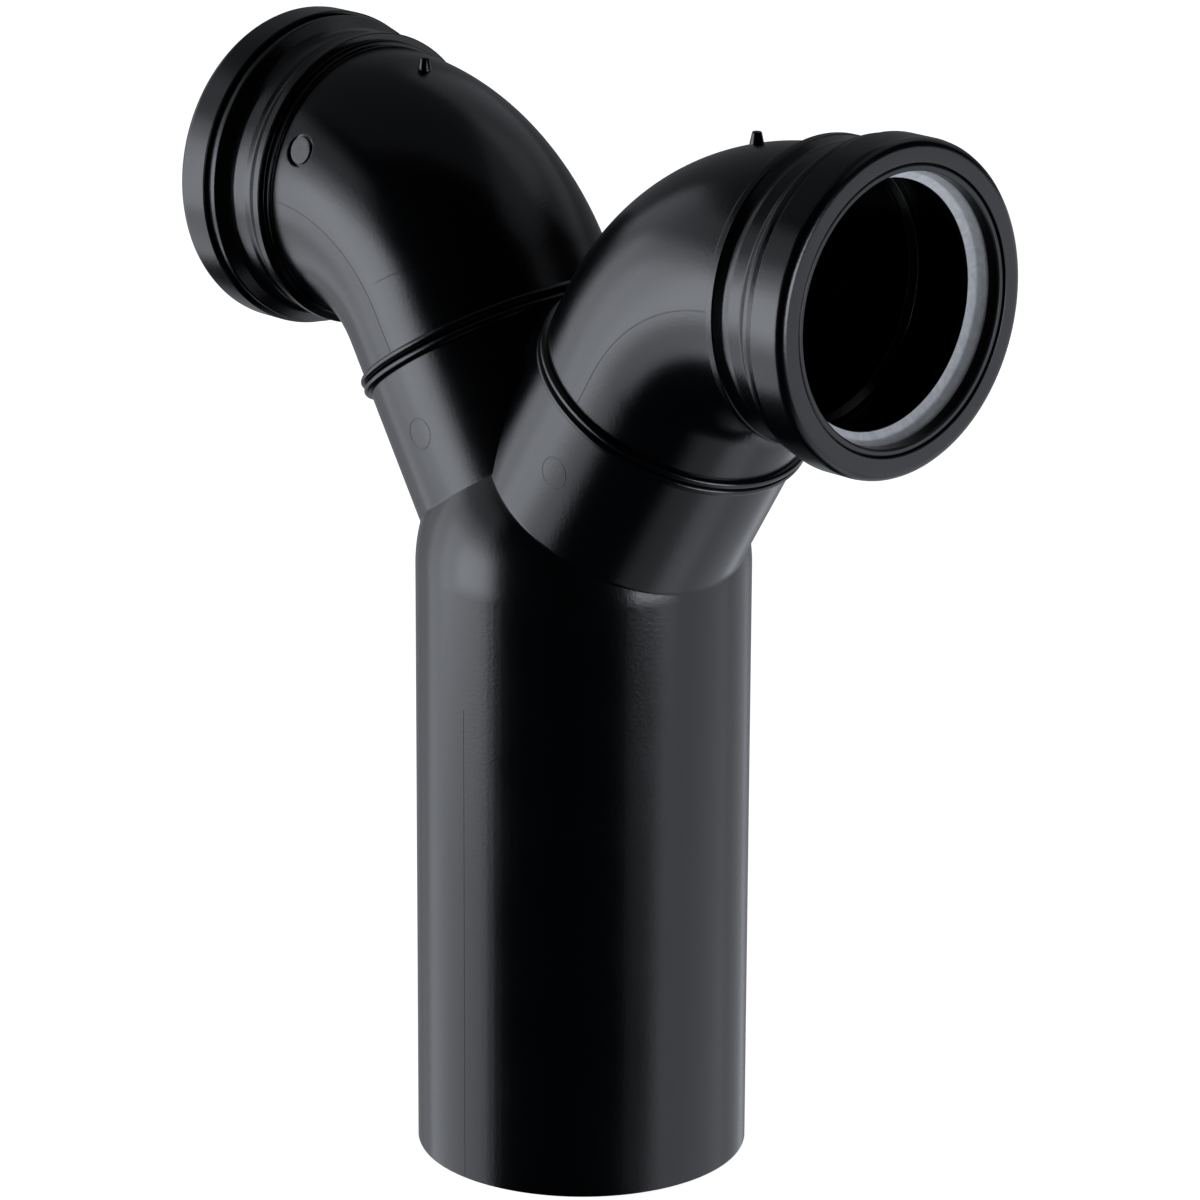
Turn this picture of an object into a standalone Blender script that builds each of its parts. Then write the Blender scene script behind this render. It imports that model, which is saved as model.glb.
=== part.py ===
"""Double connection bend for drain pipe: a trunk that forks into two socketed bends.

The trunk stands on its plain lower end, with its axis on +Z and the origin in the
middle of that end. The arms lie in the XZ plane. Everything is in metres.
"""

import math

import bmesh
import bpy
from mathutils import Matrix, Vector

# Pipe sizes
TRUNK_DIAMETER = 0.110
TRUNK_WALL = 0.0043
ARM_DIAMETER = 0.090
ARM_WALL = 0.0040

# Layout of the centre lines
JUNCTION_HEIGHT = 0.201
BRANCH_ANGLE = math.radians(32.0)
CROTCH_TO_WELD = 0.0075
BEND_STRAIGHT = 0.016
BEND_RADIUS = 0.0627
SOCKET_LEAD = 0.0006

# Butt weld
WELD_GAP = 0.0003
ROLL_WIDTH = 0.0028
ROLL_HEIGHT = 0.0019
WELD_SEAM_DEPTH = 0.0006
INNER_ROLL_HEIGHT = 0.0012

# Socket, along its axis
COLLAR_LENGTH = 0.0022
FLANGE_LENGTH = 0.0026
WAIST_LENGTH = 0.0046
BODY_LENGTH = 0.0062
SHOULDER_LENGTH = 0.0062
RIDGE_SLOPE_LENGTH = 0.0032
SPIGOT_LENGTH = 0.0078
STOP_DEPTH = 0.0014
SEAT_LENGTH = 0.0088

# Socket, across its axis
COLLAR_HEIGHT = 0.0014
FLANGE_HEIGHT = 0.0040
WAIST_HEIGHT = 0.0027
RIDGE_STEP = 0.0008
SPIGOT_WALL = 0.0028
PIPE_CLEARANCE = 0.0004
STOP_STEP = 0.0022
SEAT_DEPTH = 0.0030
SNAP_BEAD = 0.0004

# Cap ring
CAP_WALL = 0.0016
CAP_FACE_THICKNESS = 0.0052
CAP_ROUNDING = 0.0031
CAP_EDGE = 0.0004

# Lip seal
WIPER_REACH = 0.0022
LIP_REACH = 0.0059
LIP_THICKNESS = 0.0024
LIP_SLOPE = 0.0017
LIP_SETBACK = 0.0084

# Fit between separate pieces
FIT = 0.0003

# Peg and gate pad on each bend
PEG_SETBACK = 0.0275
PEG_BASE_DIAMETER = 0.0046
PEG_TOP_DIAMETER = 0.0030
PEG_HEIGHT = 0.0037
PAD_SETBACK = 0.0120
PAD_TILT = math.radians(23.2)
PAD_LEAN = math.radians(12.0)
PAD_DIAMETER = 0.0090
PAD_SINK = 0.0002
PAD_GROOVE_WIDTH = 0.0010
PAD_GROOVE_DEPTH = 0.0008

# Smoothness
TRUNK_SIDES = 64
ARM_SIDES = 36
BEND_STEPS = 8
DOME_STEPS = 12
ROLL_STEPS = 4
ROUNDING_STEPS = 4
SMALL_SIDES = 16

# How far a cutter runs past what it cuts, and where a stub starts inside the ball
OVERRUN = 0.002
STUB_ROOT = 0.010
MERGE_DISTANCE = 0.00001

# Sizes that follow from those above
TRUNK_RADIUS = TRUNK_DIAMETER / 2
TRUNK_BORE = TRUNK_RADIUS - TRUNK_WALL
ARM_RADIUS = ARM_DIAMETER / 2
ARM_BORE = ARM_RADIUS - ARM_WALL
SOCKET_BORE = ARM_RADIUS + PIPE_CLEARANCE
SEAT_RADIUS = SOCKET_BORE + SEAT_DEPTH
SPIGOT_RADIUS = SEAT_RADIUS + SPIGOT_WALL
CAP_RADIUS = SPIGOT_RADIUS + FIT + CAP_WALL
STUB_LENGTH = ARM_RADIUS / math.tan(BRANCH_ANGLE) + CROTCH_TO_WELD
AXIS_TO_STUB = Vector((math.sin(BRANCH_ANGLE), 0.0, math.cos(BRANCH_ANGLE)))
JUNCTION = Vector((0.0, 0.0, JUNCTION_HEIGHT))
WELD_CENTRE = JUNCTION + AXIS_TO_STUB * STUB_LENGTH
BEND_START = WELD_CENTRE + AXIS_TO_STUB * BEND_STRAIGHT
BEND_CENTRE = BEND_START + Vector((math.cos(BRANCH_ANGLE), 0.0, -math.sin(BRANCH_ANGLE))) * BEND_RADIUS
SOCKET_FOOT = BEND_CENTRE + Vector((SOCKET_LEAD, 0.0, BEND_RADIUS))
FLANGE_START = SOCKET_FOOT.x
FLANGE_END = FLANGE_START + FLANGE_LENGTH
WAIST_END = FLANGE_END + WAIST_LENGTH
BODY_END = WAIST_END + BODY_LENGTH
RIDGE = BODY_END + SHOULDER_LENGTH
SPIGOT_START = RIDGE + RIDGE_SLOPE_LENGTH
SPIGOT_END = SPIGOT_START + SPIGOT_LENGTH
CAP_START = SPIGOT_START + FIT
MOUTH = SPIGOT_END + FIT + CAP_FACE_THICKNESS
STOP = FLANGE_START + STOP_DEPTH
SEAT_START = SPIGOT_END - SEAT_LENGTH


def clear_scene():
    """Remove what the scene already holds."""
    for item in list(bpy.data.objects):
        bpy.data.objects.remove(item, do_unlink=True)


def make_collection(name, hidden=False):
    """Add a collection to the scene."""
    collection = bpy.data.collections.new(name)
    bpy.context.scene.collection.children.link(collection)
    collection.hide_render = hidden
    return collection


def make_material(name, colour, roughness):
    """Make a plain plastic or rubber finish."""
    material = bpy.data.materials.new(name)
    material.use_nodes = True
    shader = material.node_tree.nodes["Principled BSDF"]
    shader.inputs["Base Color"].default_value = (*colour, 1.0)
    shader.inputs["Roughness"].default_value = roughness
    shader.inputs["Metallic"].default_value = 0.0
    material.diffuse_color = (*colour, 1.0)
    return material


def arc(centre, radius, start, end, steps):
    """Points on an arc in a profile, as (distance from the axis, distance along it)."""
    points = []
    for index in range(steps + 1):
        angle = start + (end - start) * index / steps
        points.append((centre[0] + radius * math.cos(angle), centre[1] + radius * math.sin(angle)))
    return points


def turned(name, profile, sides, collection, closed=False, start=0.0):
    """Turn a profile of (distance from the axis, distance along it) about local Z.

    The first section lies at the angle start, so that two round pieces can have unlike seams.
    """
    mesh = bpy.data.meshes.new(name)
    turned_object = bpy.data.objects.new(name, mesh)
    collection.objects.link(turned_object)
    shape = bmesh.new()
    corners = []
    for across, along in profile:
        corners.append(shape.verts.new((across * math.cos(start), across * math.sin(start), along)))
    for first, second in zip(corners, corners[1:]):
        shape.edges.new((first, second))
    if closed:
        shape.edges.new((corners[-1], corners[0]))
    shape.to_mesh(mesh)
    shape.free()
    screw = turned_object.modifiers.new("turn", "SCREW")
    screw.axis = "Z"
    screw.angle = 2 * math.pi
    screw.steps = sides
    screw.render_steps = sides
    screw.use_merge_vertices = True
    screw.merge_threshold = MERGE_DISTANCE
    return turned_object


def baked(source, name, collection):
    """Replace an object by a plain mesh of its evaluated shape."""
    bpy.context.view_layer.update()
    evaluated = source.evaluated_get(bpy.context.evaluated_depsgraph_get())
    mesh = bpy.data.meshes.new_from_object(evaluated)
    matrix = source.matrix_world.copy()
    bpy.data.objects.remove(source, do_unlink=True)
    shape = bmesh.new()
    shape.from_mesh(mesh)
    bmesh.ops.remove_doubles(shape, verts=shape.verts, dist=MERGE_DISTANCE)
    shape.transform(matrix)
    bmesh.ops.recalc_face_normals(shape, faces=shape.faces)
    shape.to_mesh(mesh)
    shape.free()
    mesh.name = name
    mesh.materials.clear()
    result = bpy.data.objects.new(name, mesh)
    collection.objects.link(result)
    return result


def place(item, origin, direction):
    """Stand an object's local Z along a direction of the XZ plane."""
    turn = math.atan2(direction.x, direction.z)
    item.matrix_world = Matrix.Translation(origin) @ Matrix.Rotation(turn, 4, "Y")


def tube(name, route, radius, collection):
    """Sweep a round bar along a route and make it a closed mesh."""
    curve = bpy.data.curves.new(name, "CURVE")
    curve.dimensions = "3D"
    curve.bevel_depth = radius
    curve.bevel_resolution = ARM_SIDES // 2 - 2
    curve.use_fill_caps = True
    spline = curve.splines.new("POLY")
    spline.points.add(len(route) - 1)
    for point, place_on_route in zip(spline.points, route):
        point.co = (*place_on_route, 1.0)
    bar = bpy.data.objects.new(name, curve)
    collection.objects.link(bar)
    return baked(bar, name, collection)


def bend_route(start, end):
    """Centre line of a bend: from start, before the bend, to end, past it."""
    route = [start]
    for index in range(BEND_STEPS + 1):
        angle = BRANCH_ANGLE + (math.pi / 2 - BRANCH_ANGLE) * index / BEND_STEPS
        route.append(BEND_CENTRE + Vector((-math.cos(angle), 0.0, math.sin(angle))) * BEND_RADIUS)
    route.append(end)
    return route


def combine(target, tool, operation):
    """Join a tool to a part, or cut it from the part, and keep the tool as a guide."""
    tool.display_type = "WIRE"
    tool.hide_render = True
    change = target.modifiers.new(tool.name, "BOOLEAN")
    change.operation = operation
    change.object = tool
    change.solver = "EXACT"


def finish(part, material, parent=None):
    """Give a part its material, its parent and smooth round sides."""
    part.data.materials.append(material)
    part.parent = parent
    part.data.shade_smooth()
    part.data.set_sharp_from_angle(angle=math.radians(30.0))


def roll_profile(end, away):
    """Outer weld roll, from the end plane back along the pipe, its foot just inside the wall.

    The end plane is at end, and the pipe runs away from it in the direction away (1 or -1).
    """
    root = ARM_RADIUS - WELD_SEAM_DEPTH
    crest = ARM_RADIUS + ROLL_HEIGHT
    points = []
    for index in range(ROLL_STEPS + 1):
        angle = math.pi * index / ROLL_STEPS
        across = root + (crest - root) * math.sin(angle)
        points.append((across, end + away * ROLL_WIDTH * (1 - math.cos(angle)) / 2))
    return points


def inner_roll_profile(end, away, root):
    """Inner weld roll, just behind the end plane, on an arc whose ends lie at the radius root."""
    middle = end + away * (ROLL_WIDTH / 2 + WELD_GAP)
    crest = ARM_BORE - INNER_ROLL_HEIGHT
    points = []
    for index in range(ROLL_STEPS + 1):
        angle = math.pi * index / ROLL_STEPS
        across = root - (root - crest) * math.sin(angle)
        points.append((across, middle - away * math.cos(angle) * ROLL_WIDTH / 2))
    return points


def build_y_branch(parts, tools, material):
    """The trunk with its ball shoulder and the two slanted stubs, one moulding."""
    outside = [(0.0, JUNCTION_HEIGHT + TRUNK_RADIUS)]
    outside += arc((0.0, JUNCTION_HEIGHT), TRUNK_RADIUS, math.pi / 2, 0.0, DOME_STEPS)[1:]
    outside += [(TRUNK_RADIUS, 0.0), (0.0, 0.0)]
    trunk = turned("y_branch", outside, TRUNK_SIDES, parts)
    trunk = baked(trunk, "y_branch", parts)
    for side, sign in (("right", 1), ("left", -1)):
        direction = Vector((sign * AXIS_TO_STUB.x, 0.0, AXIS_TO_STUB.z))
        end = STUB_LENGTH - WELD_GAP / 2
        profile = [(0.0, end)]
        rolled = roll_profile(end, -1)
        profile += rolled[:-1]
        profile += [(ARM_RADIUS, rolled[-1][1]), (ARM_RADIUS, STUB_ROOT), (0.0, STUB_ROOT)]
        stub = turned(side + "_stub", profile, ARM_SIDES, tools)
        place(stub, JUNCTION, direction)
        combine(trunk, stub, "UNION")
    inside = [(0.0, JUNCTION_HEIGHT + TRUNK_BORE)]
    inside += arc((0.0, JUNCTION_HEIGHT), TRUNK_BORE, math.pi / 2, 0.0, DOME_STEPS)[1:]
    inside += [(TRUNK_BORE, -OVERRUN), (0.0, -OVERRUN)]
    core = turned("trunk_core", inside, TRUNK_SIDES, tools)
    for side, sign in (("right", 1), ("left", -1)):
        direction = Vector((sign * AXIS_TO_STUB.x, 0.0, AXIS_TO_STUB.z))
        top = STUB_LENGTH + OVERRUN
        profile = [(0.0, top), (ARM_BORE, top)]
        profile += inner_roll_profile(STUB_LENGTH - WELD_GAP / 2, -1, ARM_BORE)
        profile += [(ARM_BORE, STUB_ROOT), (0.0, STUB_ROOT)]
        stub_core = turned(side + "_stub_core", profile, ARM_SIDES, tools)
        place(stub_core, JUNCTION, direction)
        combine(core, stub_core, "UNION")
    combine(trunk, core, "DIFFERENCE")
    finish(trunk, material)
    return trunk


def socket_outside():
    """Outer profile of the socket, from its front to its foot."""
    flange = ARM_RADIUS + FLANGE_HEIGHT
    waist = ARM_RADIUS + WAIST_HEIGHT
    ridge = SPIGOT_RADIUS + RIDGE_STEP
    bead = SPIGOT_START + SPIGOT_LENGTH / 2
    bead_reach = 2 * SNAP_BEAD
    ridge_edge = SHOULDER_LENGTH / 8
    ridge_foot = ridge - (ridge - SPIGOT_RADIUS) / 2
    return [
        (0.0, SPIGOT_END),
        (SPIGOT_RADIUS, SPIGOT_END),
        (SPIGOT_RADIUS, bead + bead_reach),
        (SPIGOT_RADIUS + SNAP_BEAD, bead),
        (SPIGOT_RADIUS, bead - bead_reach),
        (SPIGOT_RADIUS, SPIGOT_START),
        (ridge_foot, SPIGOT_START),
        (ridge, RIDGE + ridge_edge),
        (ridge, RIDGE - ridge_edge),
        (waist + (ridge - waist) / 5, BODY_END + SHOULDER_LENGTH / 3),
        (waist, BODY_END),
        (waist, WAIST_END),
        (flange - (flange - waist) / 4, FLANGE_END + CAP_EDGE),
        (flange, FLANGE_END),
        (flange, FLANGE_START),
        (ARM_RADIUS + COLLAR_HEIGHT, FLANGE_START),
        (ARM_RADIUS + COLLAR_HEIGHT, FLANGE_START - COLLAR_LENGTH),
        (0.0, FLANGE_START - COLLAR_LENGTH),
    ]


def socket_inside():
    """Bore of the socket: seal seat, pipe bore, stop and a stepped way into the bend."""
    step_bore = SOCKET_BORE - STOP_STEP
    cone_depth = step_bore - ARM_BORE + OVERRUN
    return [
        (0.0, SPIGOT_END + OVERRUN),
        (SEAT_RADIUS, SPIGOT_END + OVERRUN),
        (SEAT_RADIUS, SEAT_START),
        (SOCKET_BORE + CAP_EDGE, SEAT_START),
        (SOCKET_BORE, SEAT_START - CAP_EDGE),
        (SOCKET_BORE, STOP),
        (step_bore, STOP),
        (ARM_BORE - OVERRUN, STOP - cone_depth),
        (0.0, STOP - cone_depth),
    ]


def build_elbow(side, arm, parts, tools, material):
    """One bend with its socket body, weld roll, peg and gate pad, one moulding."""
    weld_end = WELD_CENTRE + AXIS_TO_STUB * (WELD_GAP / 2)
    inside_roll = weld_end + AXIS_TO_STUB * (ROLL_WIDTH / 2)
    past_flange = SOCKET_FOOT + Vector((FLANGE_LENGTH, 0.0, 0.0))
    elbow = tube(side + "_elbow", bend_route(inside_roll, past_flange), ARM_RADIUS, parts)
    socket_axis = Vector((1.0, 0.0, 0.0))
    socket_origin = Vector((0.0, 0.0, SOCKET_FOOT.z))

    rolled = [(0.0, ROLL_WIDTH)] + roll_profile(0.0, 1)[::-1] + [(0.0, 0.0)]
    roll = turned(side + "_roll", rolled, ARM_SIDES, tools)
    place(roll, weld_end, AXIS_TO_STUB)
    socket_body = turned(side + "_socket_body", socket_outside(), ARM_SIDES, tools)
    place(socket_body, socket_origin, socket_axis)
    joined = [roll, socket_body, build_peg(side, tools)]
    pad_groove, pad = build_pad(side, tools)

    before_weld = WELD_CENTRE - AXIS_TO_STUB * OVERRUN
    core = tube(side + "_core", bend_route(before_weld, past_flange), ARM_BORE, tools)
    socket_core = turned(side + "_socket_core", socket_inside(), ARM_SIDES, tools)
    place(socket_core, socket_origin, socket_axis)
    ring = inner_roll_profile(0.0, 1, ARM_BORE + ARM_WALL / 5)
    groove = turned(side + "_inner_roll", ring, ARM_SIDES, tools, closed=True, start=math.pi / ARM_SIDES)
    place(groove, weld_end, AXIS_TO_STUB)

    for tool in joined:
        combine(elbow, tool, "UNION")
    combine(elbow, pad_groove, "DIFFERENCE")
    combine(elbow, pad, "UNION")
    combine(core, socket_core, "UNION")
    combine(core, groove, "DIFFERENCE")
    combine(elbow, core, "DIFFERENCE")
    for tool in joined + [pad_groove, pad, core, socket_core, groove]:
        tool.parent = arm
    finish(elbow, material, arm)
    return elbow


def bend_section(distance):
    """Centre and outward direction of the bend's section whose middle is at a distance in X."""
    rise = math.acos((BEND_CENTRE.x - distance) / (BEND_RADIUS + ARM_RADIUS))
    outward = Vector((-math.cos(rise), 0.0, math.sin(rise)))
    return BEND_CENTRE + outward * BEND_RADIUS, outward


def build_peg(side, tools):
    """Tapered peg that stands upright on top of the bend."""
    middle, outward = bend_section(FLANGE_START - PEG_SETBACK)
    foot = middle + outward * ARM_RADIUS
    profile = [
        (0.0, PEG_HEIGHT),
        (PEG_TOP_DIAMETER / 2 - CAP_EDGE, PEG_HEIGHT),
        (PEG_TOP_DIAMETER / 2, PEG_HEIGHT - CAP_EDGE),
        (PEG_BASE_DIAMETER / 2, 0.0),
        (PEG_BASE_DIAMETER / 2, -ARM_WALL / 2),
        (0.0, -ARM_WALL / 2),
    ]
    peg = turned(side + "_peg", profile, SMALL_SIDES, tools)
    place(peg, foot, Vector((0.0, 0.0, 1.0)))
    return peg


def build_pad(side, tools):
    """Round gate pad and the cutter of the groove round it, facing +Y on the right arm.

    The pad's face leans less than the pipe's side, so it stands proud above and lies sunk below.
    """
    across = FLANGE_START - PAD_SETBACK - BEND_CENTRE.x
    rise = BEND_RADIUS + ARM_RADIUS * math.sin(PAD_TILT)
    off_line = math.hypot(across, rise) - BEND_RADIUS
    reach = math.sqrt(ARM_RADIUS ** 2 - off_line ** 2)
    middle = BEND_CENTRE + Vector((across, reach - PAD_SINK, rise))
    lean = Matrix.Rotation(PAD_LEAN - math.pi / 2, 4, "X")
    groove_radius = PAD_DIAMETER / 2 + PAD_GROOVE_WIDTH
    made = []
    for name, radius, low, high in (
        ("_pad_groove", groove_radius, -PAD_GROOVE_DEPTH, OVERRUN),
        ("_pad", PAD_DIAMETER / 2, -ARM_WALL / 2, 0.0),
    ):
        profile = [(0.0, high), (radius, high), (radius, low), (0.0, low)]
        disc = turned(side + name, profile, SMALL_SIDES, tools)
        disc.matrix_world = Matrix.Translation(middle) @ lean
        made.append(disc)
    return made


def build_cap_ring(side, arm, parts, material):
    """Snap-on ring over the socket's front, with a rounded rim round the mouth."""
    wall_inside = SPIGOT_RADIUS + FIT
    bead = SPIGOT_START + SPIGOT_LENGTH / 2
    bead_reach = 2 * SNAP_BEAD
    rim_centre = (CAP_RADIUS - CAP_ROUNDING, MOUTH - CAP_ROUNDING)
    profile = [(SOCKET_BORE + CAP_EDGE, MOUTH)]
    profile += arc(rim_centre, CAP_ROUNDING, math.pi / 2, 0.0, ROUNDING_STEPS)
    profile += [
        (CAP_RADIUS, CAP_START + CAP_EDGE),
        (CAP_RADIUS - CAP_EDGE, CAP_START),
        (wall_inside, CAP_START),
        (wall_inside, bead - bead_reach),
        (wall_inside + SNAP_BEAD, bead),
        (wall_inside, bead + bead_reach),
        (wall_inside, SPIGOT_END + FIT),
        (SOCKET_BORE, SPIGOT_END + FIT),
        (SOCKET_BORE, MOUTH - CAP_EDGE),
    ]
    ring = turned(side + "_cap_ring", profile, ARM_SIDES, parts, closed=True)
    ring = baked(ring, side + "_cap_ring", parts)
    place(ring, Vector((0.0, 0.0, SOCKET_FOOT.z)), Vector((1.0, 0.0, 0.0)))
    finish(ring, material, arm)
    return ring


def build_lip_seal(side, arm, parts, material):
    """Rubber ring in the seat, with a wiper at the mouth and a lip that points inwards."""
    back = SEAT_START + FIT
    outer = SEAT_RADIUS - FIT
    neck = SOCKET_BORE - FIT
    wiper = neck - WIPER_REACH
    lip = neck - LIP_REACH
    front = MOUTH - CAP_EDGE
    lip_front = MOUTH - LIP_SETBACK
    lip_edge = lip_front - LIP_SLOPE
    lip_back = lip_edge - LIP_THICKNESS
    profile = [
        (neck, front - CAP_EDGE),
        (neck, SPIGOT_END),
        (outer, SPIGOT_END),
        (outer, back),
        (SOCKET_BORE + CAP_EDGE, back),
        (neck, back + CAP_EDGE),
        ((neck + wiper) / 2, lip_back + LIP_THICKNESS / 4),
        (lip + CAP_EDGE, lip_back),
        (lip, lip_back + CAP_EDGE),
        (lip, lip_edge),
        (wiper, lip_front),
        (wiper, front - CAP_EDGE),
        ((neck + wiper) / 2, front),
    ]
    seal = turned(side + "_lip_seal", profile, ARM_SIDES, parts, closed=True)
    seal = baked(seal, side + "_lip_seal", parts)
    place(seal, Vector((0.0, 0.0, SOCKET_FOOT.z)), Vector((1.0, 0.0, 0.0)))
    finish(seal, material, arm)
    return seal


def build_arm(side, turn, parts, tools, materials):
    """Bend, cap ring and seal of one side, under an empty on the trunk's axis."""
    arm = bpy.data.objects.new(side + "_arm", None)
    parts.objects.link(arm)
    build_elbow(side, arm, parts, tools, materials["pipe"])
    build_cap_ring(side, arm, parts, materials["cap"])
    build_lip_seal(side, arm, parts, materials["seal"])
    arm.rotation_euler = (0.0, 0.0, turn)


def main():
    """Build the whole fitting."""
    clear_scene()
    parts = make_collection("double_connection_bend")
    tools = make_collection("double_connection_bend_tools", hidden=True)
    materials = {
        "pipe": make_material("black_pipe_plastic", (0.012, 0.013, 0.014), 0.38),
        "cap": make_material("black_cap_plastic", (0.011, 0.012, 0.013), 0.34),
        "seal": make_material("black_seal_rubber", (0.030, 0.031, 0.033), 0.55),
    }
    build_y_branch(parts, tools, materials["pipe"])
    build_arm("right", 0.0, parts, tools, materials)
    build_arm("left", math.pi, parts, tools, materials)


main()
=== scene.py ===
import logging
import math
from collections.abc import Iterable
from dataclasses import dataclass, field, replace
from enum import Enum

import bmesh
import bpy
import numpy as np
from mathutils import Matrix, Vector


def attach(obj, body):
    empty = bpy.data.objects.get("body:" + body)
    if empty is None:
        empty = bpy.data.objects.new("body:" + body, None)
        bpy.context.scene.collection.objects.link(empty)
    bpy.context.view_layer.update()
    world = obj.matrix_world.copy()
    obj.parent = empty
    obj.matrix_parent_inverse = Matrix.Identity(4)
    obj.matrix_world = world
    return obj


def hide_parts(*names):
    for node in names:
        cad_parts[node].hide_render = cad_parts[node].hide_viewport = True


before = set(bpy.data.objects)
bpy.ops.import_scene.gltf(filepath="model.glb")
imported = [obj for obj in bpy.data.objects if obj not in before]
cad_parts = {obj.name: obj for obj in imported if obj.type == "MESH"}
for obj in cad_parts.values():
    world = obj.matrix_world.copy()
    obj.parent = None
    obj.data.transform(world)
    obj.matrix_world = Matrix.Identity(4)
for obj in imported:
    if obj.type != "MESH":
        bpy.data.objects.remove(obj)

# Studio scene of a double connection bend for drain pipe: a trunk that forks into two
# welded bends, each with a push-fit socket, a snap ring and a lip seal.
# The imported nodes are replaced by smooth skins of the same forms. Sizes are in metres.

LOG = logging.getLogger("double_connection_bend")
MM = 0.001
SMOOTH_ANGLE = math.radians(32.0)
CUT_TOLERANCE = 1e-6
SPLIT_TOLERANCE = 1e-4
SAME_RADIUS = 0.01 * MM
FILLET_STEP = math.radians(16.0)
FILLET_REACH = 0.48
NEARLY_STRAIGHT = 0.01
NEARLY_FOLDED = 3.1
BEVEL_SHARE = 0.3


class Side(Enum):
    """The two arms of the fitting."""

    RIGHT = "right"
    LEFT = "left"

    @property
    def turn(self) -> float:
        """Angle about the trunk's axis at which this arm stands."""
        return 0.0 if self is Side.RIGHT else math.pi


class Slot(Enum):
    """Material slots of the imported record."""

    PIPE = "pipe_plastic"
    CAP = "cap_plastic"
    SEAL = "seal_rubber"


@dataclass(frozen=True)
class Corner:
    """A corner of a profile: its place along the axis, across it, and its fillet."""

    along: float
    across: float
    fillet: float = 0.0


@dataclass
class Shell:
    """Points and faces of one skin."""

    points: np.ndarray
    faces: list[tuple[int, ...]]

    def turned(self, angle: float) -> "Shell":
        """Turn the skin about the trunk's axis.

        Args:
            angle: Angle in radians.

        Returns:
            The turned skin.
        """
        cos, sin = math.cos(angle), math.sin(angle)
        spin = np.array([[cos, -sin, 0.0], [sin, cos, 0.0], [0.0, 0.0, 1.0]])
        return Shell(self.points @ spin.T, list(self.faces))


def angles_round(count: int) -> np.ndarray:
    """Even angles once round, starting at 0."""
    return np.linspace(0.0, 2 * math.pi, count, endpoint=False)


def rounded(corners: list[Corner], closed: bool) -> np.ndarray:
    """Round the corners of a profile.

    Args:
        corners: Corners in order.
        closed: Whether the last corner joins the first.

    Returns:
        Points as rows of (along, across).
    """
    places = [np.array((corner.along, corner.across)) for corner in corners]
    count = len(corners)
    points: list[np.ndarray] = []
    for index, corner in enumerate(corners):
        here = places[index]
        ends = not closed and index in (0, count - 1)
        if corner.fillet <= 0.0 or ends:
            points.append(here)
            continue
        back = places[index - 1] - here
        ahead = places[(index + 1) % count] - here
        back_length, ahead_length = np.linalg.norm(back), np.linalg.norm(ahead)
        back, ahead = back / back_length, ahead / ahead_length
        half = math.acos(float(np.clip(back @ ahead, -1.0, 1.0))) / 2
        if half > math.pi / 2 - NEARLY_STRAIGHT:
            points.append(here)
            continue
        reach = min(corner.fillet / math.tan(half),
                    FILLET_REACH * back_length, FILLET_REACH * ahead_length)
        radius = reach * math.tan(half)
        middle = (back + ahead) / np.linalg.norm(back + ahead)
        centre = here + middle * radius / math.sin(half)
        first = here + back * reach - centre
        last = here + ahead * reach - centre
        sweep = math.pi - 2 * half
        steps = max(2, math.ceil(sweep / FILLET_STEP))
        for step in range(steps + 1):
            share = step / steps
            blend = first * math.sin((1 - share) * sweep) + last * math.sin(share * sweep)
            points.append(centre + blend / math.sin(sweep) if sweep < NEARLY_FOLDED else here)
    return np.array(points)


def subdivided(points: np.ndarray, low: float, high: float, step: float) -> np.ndarray:
    """Split the straight runs of a closed profile between two places along the axis.

    Args:
        points: Profile points.
        low: Lower end of the stretch.
        high: Upper end of the stretch.
        step: Longest run allowed in the stretch.

    Returns:
        The finer profile.
    """
    result: list[np.ndarray] = []
    for here, ahead in zip(points, np.roll(points, -1, axis=0)):
        result.append(here)
        start, end = sorted((here[0], ahead[0]))
        run = min(end, high) - max(start, low)
        if run <= step:
            continue
        span = ahead - here
        inner = sorted((edge - here[0]) / span[0] for edge in (max(start, low), min(end, high)))
        pieces = math.ceil(run / step)
        for part in range(pieces + 1):
            share = inner[0] + (inner[1] - inner[0]) * part / pieces
            if SPLIT_TOLERANCE < share < 1 - SPLIT_TOLERANCE:
                result.append(here + span * share)
    return np.array(result)


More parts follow.
